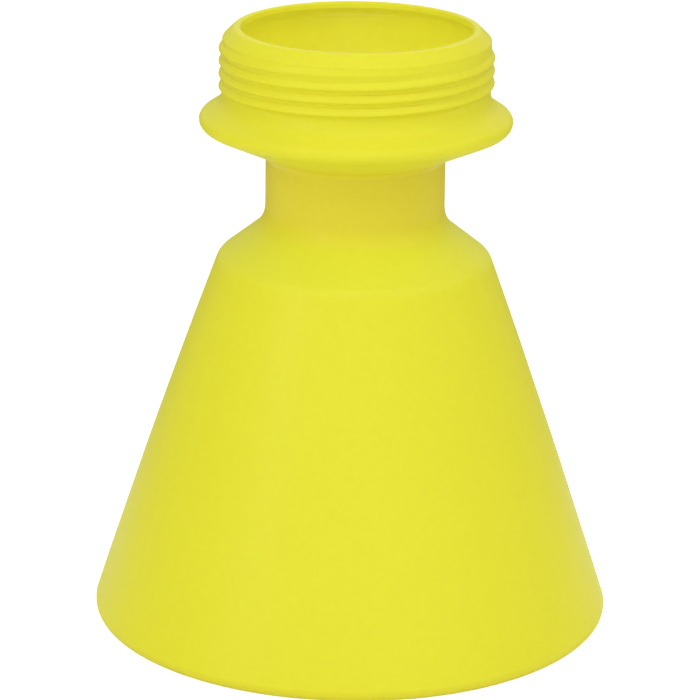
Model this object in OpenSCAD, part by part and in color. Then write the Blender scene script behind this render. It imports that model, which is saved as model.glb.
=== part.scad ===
// Conical wide-mouth reservoir bottle with an external screw thread.
// One hollow plastic moulding, drawn zone by zone: every zone is a closed solid
// that meets its neighbours face to face. Millimetres, +Z up, the origin is the
// centre of the standing face.

/* [Base] */
// Largest radius, at the rounded heel
base_r = 83; // [80:0.5:86]
// Radius of the rounded heel
heel_r = 3.3; // [2.6:0.1:4]
// Width of the flat standing ring under the heel
ring_w = 3.2; // [2:0.1:4]
// Height of the raised bottom panel at its middle, under side
panel_rise = 6.6; // [5.6:0.1:8]
// Length of the pinch-off weld under the bottom panel
weld_len = 96; // [60:1:110]

/* [Cone] */
// Lean of the cone wall just above the heel, degrees from upright
lean_low = 17.9; // [17:0.1:18.5]
// Lean of the cone wall just below the shoulder, degrees from upright
lean_high = 19.9; // [19:0.1:21]
// Height at which the lean is halfway between the two
lean_mid_z = 56.9; // [50:0.1:64]
// Wall thickness of the body
wall = 2.1; // [1.8:0.1:2.4]

/* [Shoulder and grip neck] */
// Height of the theoretical corner between cone and shoulder
shoulder_z = 119.1; // [117:0.1:121]
// Tilt of the shoulder face, degrees of its normal above level
shoulder_tilt = 51.7; // [48:0.1:56]
// Rounding of the shoulder corner
shoulder_r = 6.2; // [4:0.1:8]
// Fillet between shoulder and grip neck
neck_fillet = 10; // [7:0.1:12]
// Outside radius of the grip neck
neck_r = 28.3; // [27:0.1:29]

/* [Flange] */
// Outside radius of the flange
flange_r = 49.25; // [48:0.05:51]
// Height of the flange's nose
flange_z = 163.45; // [162.5:0.05:164.5]
// Rounding of the flange's nose
nose_r = 2.55; // [2.4:0.05:3]
// Tilt of the flange's under side, degrees of its normal below level
under_tilt = 65.7; // [62:0.1:70]
// Tilt of the flange's upper side, degrees of its normal above level
upper_tilt = 56.3; // [54:0.1:60]
// Fillet between flange and threaded neck
collar_fillet = 6; // [4:0.1:7]

/* [Threaded neck] */
// Thread root radius, the outside of the threaded neck's wall
root_r = 42; // [41.5:0.1:42.5]
// Thread crest radius
crest_r = 43.2; // [42.9:0.1:44]
// Thread pitch, single start and right-hand
pitch = 4; // [3.6:0.1:4.2]
// Height of the crest where the thread crosses +X
crest_z = 175.93; // [175.6:0.01:176.2]
// Angle at which the thread begins below, degrees from +X
thread_from = -290; // [-330:1:-270]
// Angle at which the thread ends above, degrees from +X
thread_to = 1040; // [960:1:1060]
// Wall thickness of the threaded neck
collar_wall = 2.2; // [2:0.1:2.5]

/* [Rim] */
// Overall height
height = 193; // [192.6:0.1:193.4]
// Radius of the mouth
mouth_r = 36.3; // [35.8:0.1:36.6]
// Thickness of the turned-in lip
lip_t = 2.3; // [2:0.1:2.5]
// Width of the flat sealing land on top of the rim
land_w = 0.8; // [0.6:0.1:1]
// Height at which the 45 degree outside bevel starts
bevel_z = 189.4; // [189:0.1:189.8]

/* [Hidden] */
$fn = 96;

// A generator line is [tilt of its outward normal, distance from the origin].
function at_z(L, z) = [(L[1] - z * sin(L[0])) / cos(L[0]), z];
function inward(L, t) = [L[0], L[1] - t];
function meet(A, B) = let (D = sin(B[0] - A[0]))
    [(A[1] * sin(B[0]) - B[1] * sin(A[0])) / D, (cos(A[0]) * B[1] - cos(B[0]) * A[1]) / D];
function tangent(n, cr, cz, q) = [n, cr * cos(n) + cz * sin(n) + q];
function unit(v) = v / norm(v);
function flat(p) = [p[0], p[1]];
// Points of the arc that rounds the corner p1 of the run p0, p1, p2.
function corner(p0, p1, p2, q, n) =
    let (a = unit(p0 - p1), b = unit(p2 - p1), w = acos(a * b),
         c = p1 + unit(a + b) * q / sin(w / 2),
         s = p1 + a * q / tan(w / 2) - c, e = p1 + b * q / tan(w / 2) - c,
         t0 = atan2(s[1], s[0]), d = atan2(e[1], e[0]) - t0,
         dd = d > 180 ? d - 360 : d < -180 ? d + 360 : d)
    [for (i = [0:n]) c + q * [cos(t0 + dd * i / n), sin(t0 + dd * i / n)]];
// A run of [r, z] ends and [r, z, rounding, steps] corners as points.
function run(V) = [for (i = [0:len(V) - 1])
    each (len(V[i]) == 2 ? [V[i]]
        : corner(flat(V[i - 1]), flat(V[i]), flat(V[i + 1]), V[i][2], V[i][3]))];
function back(P) = [for (i = [len(P) - 1:-1:0]) P[i]];

// Outside lines
low = tangent(lean_low, base_r - heel_r, heel_r, heel_r);
mid_p = at_z(low, lean_mid_z);
high = [lean_high, mid_p[0] * cos(lean_high) + mid_p[1] * sin(lean_high)];
sh_p = at_z(high, shoulder_z);
slope = [shoulder_tilt, sh_p[0] * cos(shoulder_tilt) + sh_p[1] * sin(shoulder_tilt)];
neck = [0, neck_r];
under = tangent(-under_tilt, flange_r - nose_r, flange_z, nose_r);
upper = tangent(upper_tilt, flange_r - nose_r, flange_z, nose_r);
collar = [0, root_r];
bevel = [45, (root_r + bevel_z) * cos(45)];
// Inside lines
low_i = inward(low, wall);
high_i = inward(high, wall);
slope_i = inward(slope, wall + 0.1);
neck_i = inward(neck, wall + 0.2);
under_i = inward(under, wall + 0.3);
upper_i = inward(upper, wall + 0.3);
collar_i = inward(collar, collar_wall);
bevel_i = inward(bevel, collar_wall);
// The long, nearly flat arc that bows the cone wall outward
bow = 54 / tan((lean_high - lean_low) / 2);

// Heights at which the zones meet
z_heel = 8;
z_cone = 112;
z_neck = 138.5;
z_flange = 149.5;
z_collar = 174;
z_rim = 187;
r_panel = 66;

// Bottom panel and standing ring
foot_r = base_r - heel_r;
ring_r = foot_r - ring_w;
dome = panel_rise / 212;
step_r = ring_r - 5.4;
function rise(r) = panel_rise - dome * r;
step_p = [step_r, rise(step_r)];
sd = unit([ring_r - 1.3, 0] - step_p);
floor_t = 2.2;
step_i = step_p + floor_t * [-sd[1], sd[0]];
// where the offset step line crosses the inside of the panel and of the ring
k1 = (rise(step_i[0]) + floor_t - step_i[1]) / (sd[1] + dome * sd[0]);
k2 = (floor_t - step_i[1]) / sd[1];
in_1 = step_i + k1 * sd;
in_2 = step_i + k2 * sd;
weld_w = 3;
weld_h = 1.1;

module shell(P) { rotate_extrude($fn = 96) polygon(P); }

// Half of the weld, following the slope of the panel's under side
module weld_half()
    translate([0, 0, panel_rise]) rotate([0, atan(dome), 0])
        translate([0, -weld_w / 2, -weld_h]) cube([weld_len / 2, weld_w, weld_h + 1]);

// Raised bottom, with the weld left where the mould pinched the tube shut
module base_panel() color([0.80, 0.76, 0.05]) {
    shell([[0, rise(0)], [r_panel, rise(r_panel)],
           [r_panel, rise(r_panel) + floor_t], [0, rise(0) + floor_t]]);
    weld_half();
    mirror([1, 0, 0]) weld_half();
}

module base_heel() color([0.84, 0.80, 0.06])
    shell(concat(
        run([[r_panel, rise(r_panel)], [step_p[0], step_p[1], 4, 6],
             [ring_r - 1.3, 0, 1.2, 5], concat(meet([-90, 0], low), [heel_r, 16]),
             at_z(low, z_heel)]),
        back(run([[r_panel, rise(r_panel) + floor_t], [in_1[0], in_1[1], 2, 4],
             [in_2[0], in_2[1], 2.2, 4], concat(meet([-90, -floor_t], low_i), [2.4, 8]),
             at_z(low_i, z_heel)]))));

module cone_wall() color([0.90, 0.88, 0.20])
    shell(concat(
        run([at_z(low, z_heel), concat(meet(low, high), [bow, 16]), at_z(high, z_cone)]),
        back(run([at_z(low_i, z_heel), concat(meet(low_i, high_i), [bow, 16]),
             at_z(high_i, z_cone)]))));

module shoulder() color([0.87, 0.84, 0.14])
    shell(concat(
        run([at_z(high, z_cone), concat(meet(high, slope), [shoulder_r, 12]),
             concat(meet(slope, neck), [neck_fillet, 14]), [neck_r, z_neck]]),
        back(run([at_z(high_i, z_cone), concat(meet(high_i, slope_i), [shoulder_r - 1.9, 10]),
             concat(meet(slope_i, neck_i), [neck_fillet + 2, 12]), [neck_i[1], z_neck]]))));

module grip_neck() color([0.84, 0.78, 0.10])
    difference() {
        translate([0, 0, z_neck]) cylinder(h = z_flange - z_neck, r = neck_r);
        translate([0, 0, z_neck - 1]) cylinder(h = z_flange - z_neck + 2, r = neck_i[1]);
    }

module support_flange() color([0.92, 0.90, 0.22])
    shell(concat(
        run([[neck_r, z_flange], concat(meet(neck, under), [3, 8]),
             concat(meet(under, upper), [nose_r, 16]),
             concat(meet(upper, collar), [collar_fillet, 10]), [root_r, z_collar]]),
        back(run([[neck_i[1], z_flange], concat(meet(neck_i, under_i), [3.5, 8]),
             concat(meet(under_i, upper_i), [2.4, 12]),
             concat(meet(upper_i, collar_i), [6, 10]), [collar_i[1], z_collar]]))));

module threaded_neck() color([0.88, 0.86, 0.16])
    difference() {
        translate([0, 0, z_collar]) cylinder(h = z_rim - z_collar, r = root_r);
        translate([0, 0, z_collar - 1]) cylinder(h = z_rim - z_collar + 2, r = collar_i[1]);
    }

// Buttress ridge: long upper flank, round crest, short steep under flank
step_a = 6;
turns_n = round((thread_to - thread_from) / step_a);
function fade(a) = let (u = min(1, (a - thread_from) / 70), v = min(1, (thread_to - a) / 130),
        s = max(0, min(u, v))) 0.10 + 0.90 * s * s * (3 - 2 * s);
foot = root_r / cos(step_a / 2) + 0.005;
function ridge(a) = let (h = (crest_r - foot) * fade(a), z = crest_z + pitch * a / 360) [
    [foot, z - 0.95], [foot, z + 2.35], [foot + 0.14 * h, z + 2.15],
    [foot + 0.92 * h, z + 0.28], [foot + h, z], [foot + 0.9 * h, z - 0.24],
    [foot + 0.12 * h, z - 0.8]];
ridge_n = 7;
module screw_thread() color([0.93, 0.91, 0.30])
    polyhedron(
        points = [for (i = [0:turns_n]) let (a = thread_from + i * step_a)
            for (p = ridge(a)) [p[0] * cos(a), p[0] * sin(a), p[1]]],
        faces = concat(
            [[for (j = [0:ridge_n - 1]) j]],
            [for (i = [0:turns_n - 1]) for (j = [0:ridge_n - 1])
                let (k = (j + 1) % ridge_n, b = i * ridge_n)
                each [[b + j, b + ridge_n + j, b + k], [b + k, b + ridge_n + j, b + ridge_n + k]]],
            [[for (j = [ridge_n - 1:-1:0]) turns_n * ridge_n + j]]));

// Turned-in lip: outside bevel, crown, flat sealing land, trimmed mouth
module sealing_rim() color([0.90, 0.88, 0.18]) {
    crown = meet(bevel, [90, height]);
    edge = mouth_r + 0.5;
    flat_end = edge + land_w;
    crown_r = (crown[0] - flat_end) / tan(22.5);
    shell(concat(
        run([[root_r, z_rim], concat(meet(collar, bevel), [1, 4]),
             [crown[0], crown[1], crown_r, 10], [edge, height]]),
        run([[edge, height], [mouth_r, height, 0.5, 5], [mouth_r, height - lip_t]]),
        back(run([[collar_i[1], z_rim], concat(meet(collar_i, bevel_i), [2, 5]),
             concat(meet(bevel_i, [90, height - lip_t]), [0.8, 3]),
             [mouth_r, height - lip_t]]))));
}

base_panel();
base_heel();
cone_wall();
shoulder();
grip_neck();
support_flange();
threaded_neck();
screw_thread();
sealing_rim();
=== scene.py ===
import math

import bpy
import numpy as np
from mathutils import Matrix, Vector


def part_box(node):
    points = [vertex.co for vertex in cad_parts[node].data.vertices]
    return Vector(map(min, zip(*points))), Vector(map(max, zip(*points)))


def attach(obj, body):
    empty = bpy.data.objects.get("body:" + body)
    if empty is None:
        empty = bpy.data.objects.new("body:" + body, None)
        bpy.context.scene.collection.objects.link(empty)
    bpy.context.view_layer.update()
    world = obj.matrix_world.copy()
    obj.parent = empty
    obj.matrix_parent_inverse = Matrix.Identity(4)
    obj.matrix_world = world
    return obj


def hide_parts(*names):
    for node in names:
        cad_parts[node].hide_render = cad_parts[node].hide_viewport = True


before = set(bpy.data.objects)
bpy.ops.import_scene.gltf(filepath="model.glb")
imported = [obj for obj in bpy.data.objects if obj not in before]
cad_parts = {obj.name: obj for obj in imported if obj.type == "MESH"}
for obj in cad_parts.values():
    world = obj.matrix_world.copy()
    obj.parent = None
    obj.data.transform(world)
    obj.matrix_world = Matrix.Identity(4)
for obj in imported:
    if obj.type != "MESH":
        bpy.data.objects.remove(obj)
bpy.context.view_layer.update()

MM = 0.001


def zs(node):
    lo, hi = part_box(node)
    return lo[2] / MM, hi[2] / MM


# ------------------------------------------------------------------ profile of the moulding, millimetres
Z_HEEL = zs("cone_wall")[0]
Z_CONE = zs("shoulder")[0]
Z_NECK = zs("grip_neck")[0]
Z_FLANGE = zs("support_flange")[0]
Z_COLLAR = zs("threaded_neck")[0]
Z_RIM = zs("sealing_rim")[0]
HEIGHT = zs("sealing_rim")[1]
BASE_R = 0.5 * (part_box("base_heel")[1][0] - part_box("base_heel")[0][0]) / MM
NECK_R = 0.5 * (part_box("grip_neck")[1][0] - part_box("grip_neck")[0][0]) / MM
FLANGE_R = 49.25
ROOT_R = 42.0
CREST_R = 43.2
MOUTH_R = 36.3
LIP_T = 2.3
R_PANEL = 66.0
FLOOR_T = 2.2


def rad(a):
    return math.radians(a)


def tangent(n, cr, cz, q):
    return (n, cr * math.cos(rad(n)) + cz * math.sin(rad(n)) + q)


def meet(a, b):
    d = math.sin(rad(b[0] - a[0]))
    return np.array([(a[1] * math.sin(rad(b[0])) - b[1] * math.sin(rad(a[0]))) / d,
                     (math.cos(rad(a[0])) * b[1] - math.cos(rad(b[0])) * a[1]) / d])


def at_z(line, z):
    return np.array([(line[1] - z * math.sin(rad(line[0]))) / math.cos(rad(line[0])), z])


def inward(line, t):
    return (line[0], line[1] - t)


HEEL_R = 3.3
low = tangent(17.9, BASE_R - HEEL_R, HEEL_R, HEEL_R)
mid = at_z(low, 56.9)
high = (19.9, mid[0] * math.cos(rad(19.9)) + mid[1] * math.sin(rad(19.9)))
shp = at_z(high, 119.1)
slope = (51.7, shp[0] * math.cos(rad(51.7)) + shp[1] * math.sin(rad(51.7)))
neck = (0.0, NECK_R)
NOSE = 2.55
under = tangent(-65.7, FLANGE_R - NOSE, 163.45, NOSE)
upper = tangent(56.3, FLANGE_R - NOSE, 163.45, NOSE)
collar = (0.0, ROOT_R)
bevel = (45.0, (ROOT_R + 189.4) * math.cos(rad(45)))
top = (90.0, HEIGHT)
BOW = 54 / math.tan(rad(1.0))

WALL = 2.1
low_i, high_i, slope_i = inward(low, WALL), inward(high, WALL), inward(slope, WALL + 0.1)
neck_i, under_i, upper_i = inward(neck, WALL + 0.2), inward(under, WALL + 0.3), inward(upper, WALL + 0.3)
collar_i, bevel_i = inward(collar, 2.2), inward(bevel, 2.2)


def profile(verts, cuts, line_step, arc_step, arc_len):
    """Samples a run of (r, z, rounding) corners. cuts are heights that must be sample points.
    Returns rows of r, z, tangent direction (unit), arc length."""
    out = []

    def put(p, d):
        if out and math.hypot(p[0] - out[-1][0], p[1] - out[-1][1]) < 1e-6:
            return
        out.append((p[0], p[1], d[0], d[1]))

    def line(a, b):
        d = b - a
        length = float(np.hypot(*d))
        if length < 1e-6:
            return
        d = d / length
        ts = list(np.linspace(0, 1, max(2, int(math.ceil(length / line_step)) + 1)))
        for z in cuts:
            if min(a[1], b[1]) + 1e-6 < z < max(a[1], b[1]) - 1e-6:
                t = (z - a[1]) / (b[1] - a[1])
                k = int(np.argmin([abs(t - u) for u in ts]))
                if 0 < k < len(ts) - 1:
                    ts[k] = t
                else:
                    ts.append(t)
        for t in sorted(ts):
            put(a + (b - a) * t, d)

    pts = [np.array(v[:2], float) for v in verts]
    cur = pts[0]
    for i in range(1, len(verts) - 1):
        q = verts[i][2]
        a, b = pts[i - 1] - pts[i], pts[i + 1] - pts[i]
        a, b = a / np.hypot(*a), b / np.hypot(*b)
        w = math.acos(max(-1, min(1, float(a @ b))))
        if q <= 0:
            line(cur, pts[i])
            cur = pts[i]
            continue
        t = q / math.tan(w / 2)
        p0, p1 = pts[i] + a * t, pts[i] + b * t
        line(cur, p0)
        c = pts[i] + (a + b) / np.hypot(*(a + b)) * q / math.sin(w / 2)
        s, e = p0 - c, p1 - c
        t0 = math.atan2(s[1], s[0])
        dd = (math.atan2(e[1], e[0]) - t0 + math.pi) % (2 * math.pi) - math.pi
        n = max(2, int(math.ceil(abs(dd) / rad(arc_step))), int(math.ceil(abs(dd) * q / (arc_len if q < 100 else 1.25))))
        sg = 1 if dd > 0 else -1
        for k in range(n + 1):
            th = t0 + dd * k / n
            put(c + q * np.array([math.cos(th), math.sin(th)]), (-sg * math.sin(th), sg * math.cos(th)))
        cur = p1
    line(cur, pts[-1])
    P = np.array(out)
    s = np.concatenate([[0], np.cumsum(np.hypot(np.diff(P[:, 0]), np.diff(P[:, 1])))])
    return P, s


# bottom panel, standing ring
RISE = 6.6
DOME = RISE / 212
RING_R = BASE_R - HEEL_R - 3.2
STEP_R = RING_R - 5.4


def rise(r):
    return RISE - DOME * r


step_p = np.array([STEP_R, rise(STEP_R)])
sd = np.array([RING_R - 1.3, 0.0]) - step_p
sd = sd / np.hypot(*sd)
step_i = step_p + FLOOR_T * np.array([-sd[1], sd[0]])
k1 = (rise(step_i[0]) + FLOOR_T - step_i[1]) / (sd[1] + DOME * sd[0])
k2 = (FLOOR_T - step_i[1]) / sd[1]
in_1, in_2 = step_i + k1 * sd, step_i + k2 * sd

CUTS = (Z_HEEL, Z_CONE, Z_NECK, Z_FLANGE, Z_COLLAR, Z_RIM)
V = lambda p, q: (p[0], p[1], q)
crown = meet(bevel, top)
edge = MOUTH_R + 0.8
flat_end = edge + 0.35
crown_q = (crown[0] - flat_end) / math.tan(rad(22.5))
outer_run = [
    (0.0, rise(0), 0), (R_PANEL, rise(R_PANEL), 0), V(step_p, 4), (RING_R - 1.3, 0, 1.2),
    V(meet((-90, 0), low), HEEL_R), V(meet(low, high), BOW), V(meet(high, slope), 6.2), V(meet(slope, neck), 10),
    V(meet(neck, under), 3.0), V(meet(under, upper), NOSE), V(meet(upper, collar), 6),
    V(meet(collar, bevel), 0.9), (crown[0], crown[1], crown_q), (MOUTH_R, HEIGHT, 0.8), (MOUTH_R, HEIGHT - 1.2, 0)]
inner_run = [
    (0.0, rise(0) + FLOOR_T, 0), (R_PANEL, rise(R_PANEL) + FLOOR_T, 0), V(in_1, 2), V(in_2, 2.2),
    V(meet((-90, -FLOOR_T), low_i), 2.4), V(meet(low_i, high_i), BOW), V(meet(high_i, slope_i), 4.3),
    V(meet(slope_i, neck_i), 12), V(meet(neck_i, under_i), 3.5), V(meet(under_i, upper_i), 2.4),
    V(meet(upper_i, collar_i), 6), V(meet(collar_i, bevel_i), 2), V(meet(bevel_i, (90, HEIGHT - LIP_T)), 0.8),
    (MOUTH_R, HEIGHT - LIP_T, 0.8), (MOUTH_R, HEIGHT - 1.2, 0)]
PO, SO = profile(outer_run, CUTS, 2.4, 5.0, 0.55)
PI, SI = profile(inner_run, CUTS, 2.4, 6.0, 0.9)

# ------------------------------------------------------------------ angular columns, finer at the two parting lines
N_ANG = 288
base_ang = np.arange(N_ANG) * 2 * math.pi / N_ANG
extra = []
for c in (0.0, math.pi):
    for k in (0.05, 0.1, 0.16, 0.24, 0.36, 0.55, 0.85):
        extra += [c + rad(k), c - rad(k)]
ANG = np.unique(np.round(np.concatenate([base_ang, np.array(extra) % (2 * math.pi)]), 9))

# ------------------------------------------------------------------ helix of the thread
PITCH, CREST_Z, A_FROM, A_TO = 4.0, 175.93, -290.0, 1040.0


def smooth(u):
    u = np.clip(u, 0, 1)
    return u * u * (3 - 2 * u)


def thread_height(a):
    """Share of the full height at thread angle a in degrees."""
    return np.minimum(smooth((a - A_FROM) / 70.0), smooth((A_TO - a) / 130.0))


def helix_wave(z, ang, sharp=1.0):
    """A smooth wave that follows the thread's ridges on the inside of the wall."""
    d = np.zeros(np.broadcast(z, ang).shape)
    a0 = np.degrees(ang)
    for k in range(-1, 4):
        a = a0 + 360.0 * k
        zc = CREST_Z + PITCH * a / 360.0 + 0.35
        d = np.maximum(d, thread_height(a) * np.exp(-((z - zc) / 1.05) ** 2))
    return d


def waviness(ang, z, r, seed):
    """Low waves a tenth of a millimetre high, as a blown wall has."""
    w = (0.045 * np.cos(2 * ang + 0.7 + seed) + 0.03 * np.cos(3 * ang - z / 31.0 + 1.9 * seed)
         + 0.022 * np.cos(5 * ang + z / 19.0 + 0.4 + seed) + 0.012 * np.sin(z / 6.5 + 4 * ang + seed)
         + 0.010 * np.cos(9 * ang - z / 8.0 + 2.2 * seed))
    return w * np.clip(r / 40.0, 0.0, 1.6)


def seam(ang, r):
    """Witness line where the two mould halves met, at +X and -X."""
    d = np.minimum(np.abs((ang + math.pi) % (2 * math.pi) - math.pi), np.abs(ang - math.pi)) * r
    return 0.085 * np.exp(-(d / 0.16) ** 2) - 0.02 * np.exp(-(d / 0.6) ** 2)


def surface(P, s, ang, disp, side):
    """Grid of points and normals: side +1 is the outside of the wall, -1 the inside."""
    r, z, tr, tz = (P[:, k][:, None] for k in range(4))
    nr, nz = side * tz, -side * tr
    A = ang[None, :]
    d = disp(z, A, r)
    ds = np.gradient(d, s, axis=0)
    ext = np.concatenate([d[:, -1:], d, d[:, :1]], axis=1)
    ea = np.concatenate([[ang[-1] - 2 * math.pi], ang, [ang[0] + 2 * math.pi]])
    da = np.gradient(ext, ea, axis=1)[:, 1:-1] / np.maximum(r, 1.0)
    ca, sa = np.cos(A), np.sin(A)
    one = np.ones_like(A)
    R = r + nr * d
    X = np.stack([R * ca, R * sa, (z + nz * d) * one], -1)
    n0 = np.stack([nr * ca, nr * sa, nz * one], -1)
    ts = np.stack([tr * ca, tr * sa, tz * one], -1)
    ta = np.stack([-sa * np.ones_like(r), ca * np.ones_like(r), np.zeros_like(R)], -1)
    n = n0 - ds[..., None] * ts - da[..., None] * ta
    n /= np.linalg.norm(n, axis=-1, keepdims=True)
    return X, n


def disp_out(z, A, r):
    keep = smooth(r / 24.0)
    flat = 1 - smooth((z - 190.6) / 1.6)            # the rim's land stays flat
    foot = smooth(z / 2.0)                           # and so does the standing ring
    panel = np.where((r < STEP_R + 2) & (z < 9), 0.0, 1.0)
    return (waviness(A, z, r, 0.0) * keep * flat + seam(A, r) * flat) * foot * panel


def disp_in(z, A, r):
    flat = 1 - smooth((z - 189.0) / 1.2)
    foot = smooth((z - 4.0) / 8.0)
    w = waviness(A, z, r, 1.7) * 1.6 * smooth(r / 24.0)
    # the inside steps outward behind each ridge, which is towards -n on the inner surface
    corr = -0.34 * helix_wave(z, A) * smooth((r - 38.5) / 0.8)
    return (w + corr) * flat * foot


XO, NO = surface(PO, SO, ANG, disp_out, +1)
XI, NI = surface(PI, SI, ANG, disp_in, -1)


def row_at(P, z, start):
    k = [i for i in range(start, len(P)) if abs(P[i, 1] - z) < 1e-4]
    if not k:
        raise RuntimeError(f"no profile row at height {z}")
    return k[0]


def row_r(P, r):
    k = [i for i in range(len(P)) if abs(P[i, 0] - r) < 1e-4]
    return k[0]


# ------------------------------------------------------------------ meshes
def new_mesh(name, verts, faces, loop_normals, slot="yellow_plastic"):
    me = bpy.data.meshes.new(name)
    me.from_pydata([tuple(v) for v in (np.asarray(verts) * MM).tolist()], [], faces)
    me.validate(clean_customdata=False)
    me.polygons.foreach_set("use_smooth", [True] * len(me.polygons))
    me.update()
    me.normals_split_custom_set([tuple(n) for n in loop_normals])
    ob = bpy.data.objects.new(name, me)
    bpy.context.scene.collection.objects.link(ob)
    return ob


def band(name, o0, o1, i0, i1, pole=False):
    """A closed solid between outer rows o0..o1 and inner rows i0..i1, joined by flat rings."""
    n = len(ANG)
    verts, faces, norms = [], [], []

    def grid(X, N, flip):
        start = len(verts)
        verts.extend(X.reshape(-1, 3).tolist())
        rows = X.shape[0]
        for i in range(rows - 1):
            for j in range(n):
                k = (j + 1) % n
                a, b = start + i * n + j, start + i * n + k
                c, d = start + (i + 1) * n + k, start + (i + 1) * n + j
                na, nb, nc, nd = N[i, j], N[i, k], N[i + 1, k], N[i + 1, j]
                if flip:
                    faces.append((a, d, c, b)); norms.extend((na, nd, nc, nb))
                else:
                    faces.append((a, b, c, d)); norms.extend((na, nb, nc, nd))
        return start

    if not pole:
        so = grid(XO[o0:o1 + 1], NO[o0:o1 + 1], False)
        si = grid(XI[i0:i1 + 1], NI[i0:i1 + 1], True)
    else:
        # the first row is a pole
        so = len(verts)
        verts.append(XO[o0, 0].tolist())
        ro = XO[o0 + 1:o1 + 1]
        s1 = grid(ro, NO[o0 + 1:o1 + 1], False)
        for j in range(n):
            k = (j + 1) % n
            faces.append((so, s1 + k, s1 + j)); norms.extend(((0, 0, -1), NO[o0 + 1, k], NO[o0 + 1, j]))
        si = len(verts)
        verts.append(XI[i0, 0].tolist())
        s2 = grid(XI[i0 + 1:i1 + 1], NI[i0 + 1:i1 + 1], True)
        for j in range(n):
            k = (j + 1) % n
            faces.append((si, s2 + j, s2 + k)); norms.extend(((0, 0, 1), NI[i0 + 1, j], NI[i0 + 1, k]))

    def cap(a0, b0, up):
        for j in range(n):
            k = (j + 1) % n
            f = (a0 + j, a0 + k, b0 + k, b0 + j) if up else (a0 + j, b0 + j, b0 + k, a0 + k)
            faces.append(f)
            p = [np.array(verts[q]) for q in f]
            nn = np.cross(p[1] - p[0], p[3] - p[0]); nn = nn / max(1e-12, np.linalg.norm(nn))
            norms.extend([nn] * 4)

    def weld_last():
        """The last outer row and the last inner row are the same ring."""
        a = so + (o1 - o0) * n
        b = si + (i1 - i0) * n
        m = {b + j: a + j for j in range(n)}
        for q in range(len(faces)):
            faces[q] = tuple(m.get(v, v) for v in faces[q])

    lo_o = so if not pole else None
    if pole:
        cap(s1 + (ro.shape[0] - 1) * n, s2 + (i1 - i0 - 1) * n, True)
    else:
        same_top = np.allclose(XO[o1], XI[i1], atol=1e-6)
        if same_top:
            weld_last()
        else:
            cap(so + (o1 - o0) * n, si + (i1 - i0) * n, True)
        cap(so, si, False)
    used = sorted({v for f in faces for v in f})
    remap = {v: q for q, v in enumerate(used)}
    verts = [verts[v] for v in used]
    faces = [tuple(remap[v] for v in f) for f in faces]
    return new_mesh(name, verts, faces, norms)


ro_panel, ri_panel = row_r(PO, R_PANEL), row_r(PI, R_PANEL)
ro = [row_at(PO, z, ro_panel + 1) for z in CUTS]
ri = [row_at(PI, z, ri_panel + 1) for z in CUTS]
pieces = {}
pieces["base_panel"] = band("bottom_panel", 0, ro_panel, 0, ri_panel, pole=True)
pieces["base_heel"] = band("heel_ring", ro_panel, ro[0], ri_panel, ri[0])
pieces["cone_wall"] = band("cone", ro[0], ro[1], ri[0], ri[1])
pieces["shoulder"] = band("shoulder_wall", ro[1], ro[2], ri[1], ri[2])
pieces["grip_neck"] = band("grip_neck_wall", ro[2], ro[3], ri[2], ri[3])
pieces["support_flange"] = band("flange", ro[3], ro[4], ri[3], ri[4])
pieces["threaded_neck"] = band("threaded_neck_wall", ro[4], ro[5], ri[4], ri[5])
pieces["sealing_rim"] = band("rim", ro[5], len(PO) - 1, ri[5], len(PI) - 1)

# ------------------------------------------------------------------ the screw thread: a long upper flank, a round crest, a short steep under flank
def ridge_section():
    """(share of the ridge's height, height above the crest in mm), from the lower foot up over the crest to the upper foot."""
    knots = [(-1.91, 0.0), (-1.72, 0.014), (-1.51, 0.055), (-1.28, 0.13), (-1.07, 0.235), (-0.87, 0.365), (-0.69, 0.515),
             (-0.52, 0.68), (-0.36, 0.835), (-0.20, 0.945), (-0.05, 0.995), (0.11, 1.0), (0.33, 0.96), (0.60, 0.875),
             (0.87, 0.755), (1.15, 0.61), (1.41, 0.455), (1.65, 0.305), (1.84, 0.17), (1.97, 0.07), (2.03, 0.0)]
    z = [k[0] for k in knots]
    h = [k[1] for k in knots]
    zz, hh = [], []
    for i in range(len(z) - 1):                      # Catmull-Rom through the knots
        i0, i3 = max(0, i - 1), min(len(z) - 1, i + 2)
        m1 = (h[i + 1] - h[i0]) / (z[i + 1] - z[i0])
        m2 = (h[i3] - h[i]) / (z[i3] - z[i])
        dz = z[i + 1] - z[i]
        for u in (0.0, 0.5):
            a, b, c, d = 2 * u**3 - 3 * u**2 + 1, u**3 - 2 * u**2 + u, -2 * u**3 + 3 * u**2, u**3 - u**2
            zz.append(z[i] + dz * u)
            hh.append(a * h[i] + b * dz * m1 + c * h[i + 1] + d * dz * m2)
    zz.append(z[-1])
    hh.append(h[-1])
    pts = [(-0.30, zz[0] - 0.10), (-0.10, zz[0] - 0.04)] + list(zip(hh, zz)) + [(-0.10, zz[-1] + 0.04), (-0.30, zz[-1] + 0.10)]
    return np.array(pts)


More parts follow.
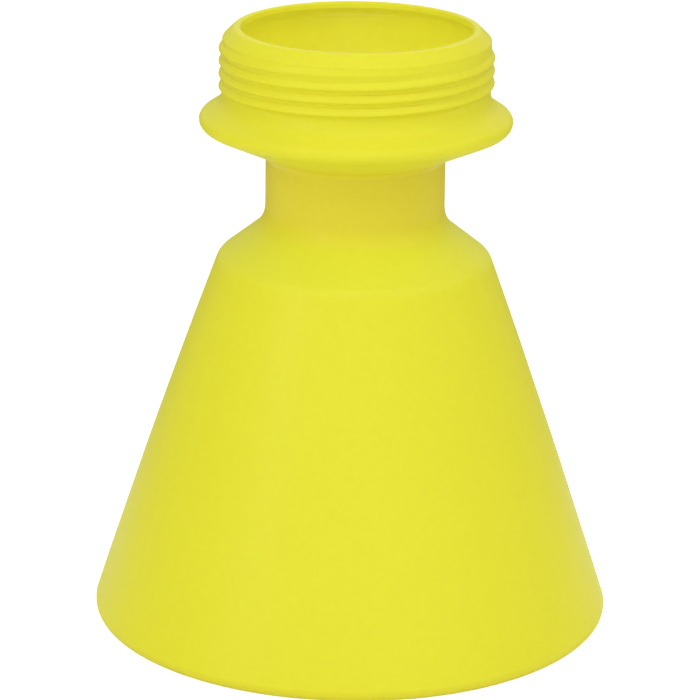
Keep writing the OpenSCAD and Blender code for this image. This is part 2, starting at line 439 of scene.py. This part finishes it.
def thread_piece():
    sec = ridge_section()
    step = 1.5
    A = np.arange(A_FROM - 12, A_TO + 12 + 1e-6, step)
    H = (CREST_R - ROOT_R)
    h = thread_height(A)
    m = len(sec)
    X = np.zeros((len(A), m, 3))
    for i, a in enumerate(A):
        t = rad(a)
        hh = h[i]
        # the foot sinks as the ridge runs out, so that its end lies inside the wall
        r = ROOT_R + np.where(sec[:, 0] > 0, sec[:, 0] * H * hh, sec[:, 0] * 1.0) - 0.10 * (1 - smooth(np.array(hh / 0.12)))
        zc = CREST_Z + PITCH * a / 360.0
        zz = zc + sec[:, 1] * (0.55 + 0.45 * smooth(np.array(hh / 0.6)))
        X[i, :, 0] = r * math.cos(t); X[i, :, 1] = r * math.sin(t); X[i, :, 2] = zz
    du = np.gradient(X, axis=0)
    # gradient along the section with the true spacing
    dv = np.zeros_like(X)
    seg = np.linalg.norm(np.diff(X, axis=1), axis=2)
    fwd = np.diff(X, axis=1) / seg[..., None]
    dv[:, 0], dv[:, -1] = fwd[:, 0], fwd[:, -1]
    w0, w1 = 1 / seg[:, :-1], 1 / seg[:, 1:]
    dv[:, 1:-1] = (fwd[:, :-1] * w0[..., None] + fwd[:, 1:] * w1[..., None]) / (w0 + w1)[..., None]
    N = np.cross(du, dv)
    N /= np.maximum(1e-12, np.linalg.norm(N, axis=-1, keepdims=True))
    radial = X[..., :2] / np.linalg.norm(X[..., :2], axis=-1, keepdims=True)
    sign = np.sign((N[..., :2] * radial).sum(-1)).mean()
    flip = sign < 0
    if flip:
        N = -N
    verts = X.reshape(-1, 3).tolist()
    faces, norms = [], []
    for i in range(len(A) - 1):
        for j in range(m - 1):
            q = [(i, j), (i + 1, j), (i + 1, j + 1), (i, j + 1)]
            if flip:
                q = q[::-1]
            faces.append(tuple(a * m + b for a, b in q)); norms.extend(N[a, b] for a, b in q)
        # back of the ridge, inside the wall
        q = [(i, m - 1), (i + 1, m - 1), (i + 1, 0), (i, 0)]
        if flip:
            q = q[::-1]
        faces.append(tuple(a * m + b for a, b in q))
        rr = radial[i, 0]
        norms.extend([np.array([-rr[0], -rr[1], 0.0])] * 4)
    for i, sgn in ((0, 1), (len(A) - 1, -1)):
        ring = [i * m + j for j in range(m)]
        if (sgn > 0) != flip:
            ring = ring
        else:
            ring = ring[::-1]
        faces.append(tuple(ring))
        t = rad(A[i])
        d = np.array([math.sin(t), -math.cos(t), 0.0]) * (1 if i == 0 else -1)
        norms.extend([d] * m)
    return new_mesh("thread_ridge", verts, faces, norms)


pieces["screw_thread"] = thread_piece()


# ------------------------------------------------------------------ weld on the bottom panel, where the mould pinched the tube shut
def weld_bar():
    half, w, h = 48.0, 1.5, 1.1
    verts, faces, norms = [], [], []
    xs = np.linspace(-half, half, 121)
    prof = np.linspace(math.pi, 0, 13)
    m = len(prof) + 2
    rows = []
    for x in xs:
        end = math.sqrt(max(0.0, 1 - (abs(x) / half) ** 14))
        hh = h * (0.25 + 0.75 * end) * (1 + 0.06 * math.sin(x * 1.7) + 0.04 * math.sin(x * 0.61 + 1))
        ww = w * (0.35 + 0.65 * end) * (1 + 0.05 * math.sin(x * 0.9 + 2))
        z0 = rise(abs(x))
        pts = [(x, ww * math.cos(p), z0 - hh * math.sin(p) ** 0.7) for p in prof]
        rows.append([(x, -ww, z0 + 0.5)] + pts + [(x, ww, z0 + 0.5)])
    R = np.array(rows)
    du = np.gradient(R, axis=0); dv = np.gradient(R, axis=1)
    N = np.cross(dv, du); N /= np.maximum(1e-9, np.linalg.norm(N, axis=-1, keepdims=True))
    if N[60, m // 2, 2] > 0:
        N = -N
    verts = R.reshape(-1, 3).tolist()
    for i in range(len(xs) - 1):
        for j in range(m):
            k = (j + 1) % m
            q = [(i, j), (i, k), (i + 1, k), (i + 1, j)]
            faces.append(tuple(a * m + b for a, b in q))
            if k == 0:
                norms.extend([np.array([0, 0, 1.0])] * 4)
            else:
                norms.extend(N[a, b] for a, b in q)
    faces.append(tuple(range(m))[::-1]); norms.extend([np.array([-1.0, 0, 0])] * m)
    faces.append(tuple((len(xs) - 1) * m + j for j in range(m))); norms.extend([np.array([1.0, 0, 0])] * m)
    return new_mesh("pinch_weld", verts, faces, norms)


weld = weld_bar()

# ------------------------------------------------------------------ material: blown yellow polyethylene
def plastic(name):
    mat = bpy.data.materials.new(name)
    mat.use_nodes = True
    nt = mat.node_tree
    nt.nodes.clear()
    out = nt.nodes.new("ShaderNodeOutputMaterial")
    bs = nt.nodes.new("ShaderNodeBsdfPrincipled")
    nt.links.new(bs.outputs[0], out.inputs[0])
    bs.inputs["IOR"].default_value = 1.52
    bs.inputs["Specular IOR Level"].default_value = 0.17
    bs.inputs["Metallic"].default_value = 0.0
    co = nt.nodes.new("ShaderNodeTexCoord")

    def noise(scale, detail=2.0, rough=0.5, vec=None):
        n = nt.nodes.new("ShaderNodeTexNoise")
        n.inputs["Scale"].default_value = scale
        n.inputs["Detail"].default_value = detail
        n.inputs["Roughness"].default_value = rough
        nt.links.new(vec if vec is not None else co.outputs["Object"], n.inputs["Vector"])
        return n

    def ramp(src, stops):
        r = nt.nodes.new("ShaderNodeValToRGB")
        e = r.color_ramp.elements
        e[0].position, e[0].color = stops[0][0], (*stops[0][1], 1)
        e[1].position, e[1].color = stops[1][0], (*stops[1][1], 1)
        for p, c in stops[2:]:
            k = e.new(p)
            k.color = (*c, 1)
        nt.links.new(src, r.inputs[0])
        return r

    # pigment: slow clouds and a faint fine mottle
    cloud = noise(9.0, 3.0, 0.55)
    c1 = ramp(cloud.outputs[0], [(0.30, (0.799, 0.776, 0.0325)), (0.70, (0.811, 0.792, 0.0355))])
    fine = noise(420.0, 2.0, 0.6)
    c2 = ramp(fine.outputs[0], [(0.35, (0.985, 0.982, 0.96)), (0.65, (1.0, 1.0, 1.0))])
    # painted shade: the base colour turns darker and deeper where ambient occlusion finds narrow grooves and crevices
    ao = nt.nodes.new("ShaderNodeAmbientOcclusion")
    ao.samples = 8
    ao.inputs["Distance"].default_value = 0.012
    painted_groove_shade = ramp(ao.outputs["AO"], [(0.45, (0.985, 0.950, 0.95)), (0.90, (1.0, 1.0, 1.0))])
    # painted shade: round the grip neck, under the flange, the base colour is made darker in green and deeper, standing
    # in for the flange's shade
    sep = nt.nodes.new("ShaderNodeSeparateXYZ")
    nt.links.new(co.outputs["Object"], sep.inputs[0])

    def step(src, z0, z1, v0, v1):
        m = nt.nodes.new("ShaderNodeMapRange")
        m.interpolation_type = "SMOOTHSTEP"
        m.inputs["From Min"].default_value = z0
        m.inputs["From Max"].default_value = z1
        m.inputs["To Min"].default_value = v0
        m.inputs["To Max"].default_value = v1
        nt.links.new(src, m.inputs[0])
        return m.outputs[0]

    neck_shade_band = nt.nodes.new("ShaderNodeMath")
    neck_shade_band.operation = "MULTIPLY"
    nt.links.new(step(sep.outputs[2], 0.1280, 0.1360, 0.0, 1.0), neck_shade_band.inputs[0])
    nt.links.new(step(sep.outputs[2], 0.1500, 0.1580, 1.0, 0.0), neck_shade_band.inputs[1])
    # painted shade on the grip neck below the flange
    painted_neck_shade = ramp(neck_shade_band.outputs[0], [(0.0, (1.0, 1.0, 1.0)), (1.0, (1.0, 0.908, 1.22))])
    # painted light: the shoulder slope and the band under the flange are made paler and less saturated, as if more
    # light fell on them
    def painted_band(z0, z1, z2, z3, top):
        m = nt.nodes.new("ShaderNodeMath")
        m.operation = "MULTIPLY"
        nt.links.new(step(sep.outputs[2], z0, z1, 0.0, 1.0), m.inputs[0])
        nt.links.new(step(sep.outputs[2], z2, z3, 1.0, 0.0), m.inputs[1])
        return ramp(m.outputs[0], [(0.0, (1.0, 1.0, 1.0)), (1.0, top)])

    painted_shoulder_light = painted_band(0.1160, 0.1215, 0.1265, 0.1315, (1.0, 1.032, 1.35))
    painted_underflange_light = painted_band(0.1520, 0.1560, 0.1590, 0.1630, (1.0, 1.025, 1.45))

    def times(a, b):
        m = nt.nodes.new("ShaderNodeMix")
        m.data_type = "RGBA"
        m.blend_type = "MULTIPLY"
        m.inputs[0].default_value = 1.0
        nt.links.new(a, m.inputs[6])
        nt.links.new(b, m.inputs[7])
        return m.outputs[2]

    # base colour: pigment clouds and mottle times the painted groove shade, the painted neck shade and the painted
    # light on the shoulder and under the flange
    nt.links.new(times(times(times(c1.outputs[0], c2.outputs[0]), times(painted_groove_shade.outputs[0], painted_neck_shade.outputs[0])), times(painted_shoulder_light.outputs[0], painted_underflange_light.outputs[0])), bs.inputs["Base Color"])

    # roughness: satin gloss with slightly duller clouds
    rr = noise(34.0, 4.0, 0.6)
    r1 = nt.nodes.new("ShaderNodeMapRange")
    r1.inputs["From Min"].default_value = 0.3; r1.inputs["From Max"].default_value = 0.7
    r1.inputs["To Min"].default_value = 0.33; r1.inputs["To Max"].default_value = 0.41
    nt.links.new(rr.outputs[0], r1.inputs[0])
    # rubbed dull in patches where it stands and where the flange's nose is knocked
    scuff = noise(150.0, 3.0, 0.65)
    patch = nt.nodes.new("ShaderNodeMapRange")
    patch.inputs["From Min"].default_value = 0.44; patch.inputs["From Max"].default_value = 0.62
    patch.inputs["To Min"].default_value = 0.0; patch.inputs["To Max"].default_value = 0.16
    nt.links.new(scuff.outputs[0], patch.inputs[0])
    nose = nt.nodes.new("ShaderNodeMath")
    nose.operation = "MULTIPLY"
    nt.links.new(step(sep.outputs[2], 0.1600, 0.1625, 0.0, 0.7), nose.inputs[0])
    nt.links.new(step(sep.outputs[2], 0.1645, 0.1670, 1.0, 0.0), nose.inputs[1])
    where = nt.nodes.new("ShaderNodeMath")
    where.operation = "ADD"
    nt.links.new(step(sep.outputs[2], 0.0010, 0.0060, 1.0, 0.0), where.inputs[0])
    nt.links.new(nose.outputs[0], where.inputs[1])
    rub = nt.nodes.new("ShaderNodeMath")
    rub.operation = "MULTIPLY_ADD"
    nt.links.new(patch.outputs[0], rub.inputs[0])
    nt.links.new(where.outputs[0], rub.inputs[1])
    nt.links.new(r1.outputs[0], rub.inputs[2])
    nt.links.new(rub.outputs[0], bs.inputs["Roughness"])

    # surface: orange peel about 2 mm across and a very fine grain from the blasted mould
    peel = noise(330.0, 2.0, 0.5)
    grain = noise(2100.0, 1.0, 0.5)
    b1 = nt.nodes.new("ShaderNodeBump")
    b1.inputs["Strength"].default_value = 0.10; b1.inputs["Distance"].default_value = 0.0004
    nt.links.new(peel.outputs[0], b1.inputs["Height"])
    b2 = nt.nodes.new("ShaderNodeBump")
    b2.inputs["Strength"].default_value = 0.06; b2.inputs["Distance"].default_value = 0.0001
    nt.links.new(grain.outputs[0], b2.inputs["Height"])
    nt.links.new(b1.outputs[0], b2.inputs["Normal"])
    nt.links.new(b2.outputs[0], bs.inputs["Normal"])
    return mat


yellow = plastic("yellow_polyethylene")
for node, ob in pieces.items():
    ob.data.materials.append(yellow)
    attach(ob, "root")
    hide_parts(node)
weld.data.materials.append(yellow)
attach(weld, "root")
for name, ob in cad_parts.items():
    ob.data.materials.clear()
    ob.data.materials.append(yellow)

# ------------------------------------------------------------------ floor
def floor_material():
    mat = bpy.data.materials.new("pale_floor")
    mat.use_nodes = True
    nt = mat.node_tree
    bs = nt.nodes["Principled BSDF"]
    co = nt.nodes.new("ShaderNodeTexCoord")
    n = nt.nodes.new("ShaderNodeTexNoise")
    n.inputs["Scale"].default_value = 2.0
    nt.links.new(co.outputs["Object"], n.inputs["Vector"])
    r = nt.nodes.new("ShaderNodeValToRGB")
    r.color_ramp.elements[0].color = (0.945, 0.945, 0.945, 1)
    r.color_ramp.elements[1].color = (0.955, 0.955, 0.955, 1)
    nt.links.new(n.outputs[0], r.inputs[0])
    # a warm grey card lies on the table behind the object, so that its edges mirror less white
    sep = nt.nodes.new("ShaderNodeSeparateXYZ")
    nt.links.new(co.outputs["Object"], sep.inputs[0])
    card = nt.nodes.new("ShaderNodeMapRange")
    card.interpolation_type = "SMOOTHSTEP"
    card.inputs["From Min"].default_value = 0.10
    card.inputs["From Max"].default_value = 0.40
    nt.links.new(sep.outputs[1], card.inputs[0])
    tone = nt.nodes.new("ShaderNodeValToRGB")
    tone.color_ramp.elements[0].color = (1.0, 1.0, 1.0, 1)
    tone.color_ramp.elements[1].color = (0.470, 0.430, 0.310, 1)
    nt.links.new(card.outputs[0], tone.inputs[0])
    dim = nt.nodes.new("ShaderNodeMix")
    dim.data_type = "RGBA"
    dim.blend_type = "MULTIPLY"
    dim.inputs[0].default_value = 1.0
    nt.links.new(r.outputs[0], dim.inputs[6])
    nt.links.new(tone.outputs[0], dim.inputs[7])
    nt.links.new(dim.outputs[2], bs.inputs["Base Color"])
    bs.inputs["Roughness"].default_value = 0.9
    bs.inputs["Specular IOR Level"].default_value = 0.0
    # the table is lit from below as well, which only lifts what the camera sees of it
    bs.inputs["Emission Color"].default_value = (1.0, 1.0, 1.0, 1.0)
    lp = nt.nodes.new("ShaderNodeLightPath")
    lift = nt.nodes.new("ShaderNodeMath")
    lift.operation = "MULTIPLY"
    lift.inputs[1].default_value = 0.85
    nt.links.new(lp.outputs["Is Camera Ray"], lift.inputs[0])
    nt.links.new(lift.outputs[0], bs.inputs["Emission Strength"])
    return mat


me = bpy.data.meshes.new("studio_floor")
S = 12.0
me.from_pydata([(-S, -S, -0.0001), (S, -S, -0.0001), (S, S, -0.0001), (-S, S, -0.0001)], [], [(0, 1, 2, 3)])
floor = bpy.data.objects.new("studio_floor", me)
bpy.context.scene.collection.objects.link(floor)
floor.data.materials.append(floor_material())

# ------------------------------------------------------------------ light
world = bpy.data.worlds.new("studio")
bpy.context.scene.world = world
world.use_nodes = True


def sky(nt):
    """A soft room: brighter in front and above, dim at the sides. White where the camera sees past the floor."""
    nt.nodes.clear()
    tc = nt.nodes.new("ShaderNodeTexCoord")
    sep = nt.nodes.new("ShaderNodeSeparateXYZ")
    nt.links.new(tc.outputs["Generated"], sep.inputs[0])

    def math_node(op, a, b=None, c=None):
        n = nt.nodes.new("ShaderNodeMath")
        n.operation = op
        for k, v in enumerate((a, b, c)):
            if v is None:
                continue
            if isinstance(v, (int, float)):
                n.inputs[k].default_value = v
            else:
                nt.links.new(v, n.inputs[k])
        return n.outputs[0]

    x, y, z = sep.outputs[0], sep.outputs[1], sep.outputs[2]
    terms = [(x, None, 0.0753), (y, None, -0.0274), (z, None, 0.1728), (x, x, -0.2114), (y, y, 0.2114), (x, y, -0.0103), (x, z, 0.0068),
             (y, z, 0.1549), (z, z, 0.0479)]
    total = 0.4553
    for p, q, k in terms:
        t = p if q is None else math_node("MULTIPLY", p, q)
        total = math_node("MULTIPLY_ADD", t, k, total)
    total = math_node("MAXIMUM", total, 0.12)
    bg = nt.nodes.new("ShaderNodeBackground")
    bg.inputs["Color"].default_value = (1.0, 0.97, 0.935, 1)
    nt.links.new(total, bg.inputs["Strength"])
    white = nt.nodes.new("ShaderNodeBackground")
    white.inputs["Strength"].default_value = 0.97
    lp = nt.nodes.new("ShaderNodeLightPath")
    mix = nt.nodes.new("ShaderNodeMixShader")
    nt.links.new(lp.outputs["Is Camera Ray"], mix.inputs[0])
    nt.links.new(bg.outputs[0], mix.inputs[1])
    nt.links.new(white.outputs[0], mix.inputs[2])
    out = nt.nodes.new("ShaderNodeOutputWorld")
    nt.links.new(mix.outputs[0], out.inputs[0])


sky(world.node_tree)


def area(name, az, el, dist, size, size_y, power, color=(1, 1, 1)):
    """A softbox. az is in degrees round from the front, negative to the left."""
    li = bpy.data.lights.new(name, "AREA")
    li.shape = "RECTANGLE"
    li.size = size
    li.size_y = size_y
    li.energy = power
    li.color = color
    ob = bpy.data.objects.new(name, li)
    bpy.context.scene.collection.objects.link(ob)
    a, e = rad(az), rad(el)
    loc = Vector((dist * math.cos(e) * math.sin(a), -dist * math.cos(e) * math.cos(a), 0.1 + dist * math.sin(e)))
    ob.location = loc
    ob.rotation_euler = (Vector((0, 0, 0.1)) - loc).to_track_quat("-Z", "Y").to_euler()
    return ob


area("front_softbox", 0, 52.5, 2.5, 2.39, 1.09, 9.81, (0.985, 1.0, 1.0))
area("low_front_softbox", 10, 20, 2.5, 3.48, 1.09, 3.06, (1.0, 0.965, 0.93))
area("right_softbox", 75, 40, 2.5, 2.0, 2.18, 11.7, (1.0, 0.955, 0.91))
area("left_softbox", -75, 40, 2.5, 2.0, 2.18, 4.83, (1.0, 0.965, 0.93))
area("left_strip", -48, 24, 1.6, 0.60, 1.10, 3.85)
area("back_softbox", 180, 42, 2.5, 2.4, 1.6, 4.93)
area("top_softbox", -15, 84, 1.5, 0.35, 0.35, 0.68)

# the thin wall lets daylight through; this weak lamp inside the neck stands for it
glow = bpy.data.lights.new("wall_glow", "POINT")
glow.energy = 0.019
glow.shadow_soft_size = 0.012
glow.color = (1.0, 1.0, 2.5)
glow_ob = bpy.data.objects.new("wall_glow", glow)
glow_ob.location = (0, 0, 0.150)
glow_ob.visible_camera = False
bpy.context.scene.collection.objects.link(glow_ob)

# ------------------------------------------------------------------ camera
cam = bpy.data.cameras.new("camera")
cam.sensor_width = 36.0
cam.lens = 176.961
cam.clip_end = 50
co = bpy.data.objects.new("camera", cam)
bpy.context.scene.collection.objects.link(co)
pi, ya, rl = rad(-17.84808), rad(-0.050877), rad(0.767474)
fwd = Vector((math.sin(ya) * math.cos(pi), math.cos(ya) * math.cos(pi), math.sin(pi)))
rgt = Vector((math.cos(ya), -math.sin(ya), 0.0))
up = rgt.cross(fwd)
r2 = rgt * math.cos(rl) + up * math.sin(rl)
u2 = -rgt * math.sin(rl) + up * math.cos(rl)
M = Matrix((r2, u2, -fwd)).transposed().to_4x4()
M.translation = Vector((0, -1.050633, 0.425416))
co.matrix_world = M
bpy.context.scene.camera = co
bpy.context.scene.view_settings.view_transform = "Standard"
bpy.context.scene.view_settings.look = "None"
